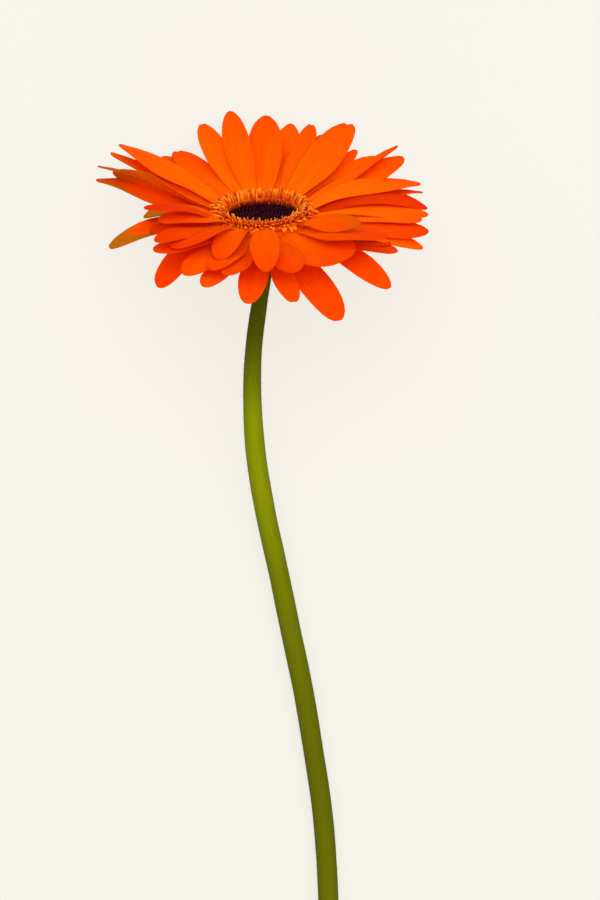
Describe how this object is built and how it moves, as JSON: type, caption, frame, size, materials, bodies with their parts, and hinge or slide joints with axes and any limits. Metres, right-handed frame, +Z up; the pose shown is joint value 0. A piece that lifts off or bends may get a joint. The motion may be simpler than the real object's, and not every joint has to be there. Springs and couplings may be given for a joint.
{
  "type": "gerbera daisy",
  "caption": "Cut orange gerbera daisy with a dark centre, lying on a table with its bloom raised on the lower petal tips and its leafless green stem along the surface.",
  "frame": {"origin": "bottom centre of the bounding box, on the table that the flower lies on", "axes": "+Y from the cut end of the stem towards the flower head, +Z up from the table, +X to the right of someone who looks down at it with the head at the top"},
  "size_m": [0.1121, 0.3265, 0.0949],
  "materials": {
    "stem": "fine downy plant skin, slightly waxy",
    "bracts": "downy matt leaf",
    "ray_petals": "satin petal with fine lengthwise veins",
    "trans_petals": "satin petal",
    "disc_buds": "velvety dark bud"
  },
  "bodies": {
    "root": {"stem": "stem", "involucre": "bracts", "ray_florets": "ray_petals", "trans_florets": "trans_petals", "disc_florets": "disc_buds"}
  },
  "joints": []
}
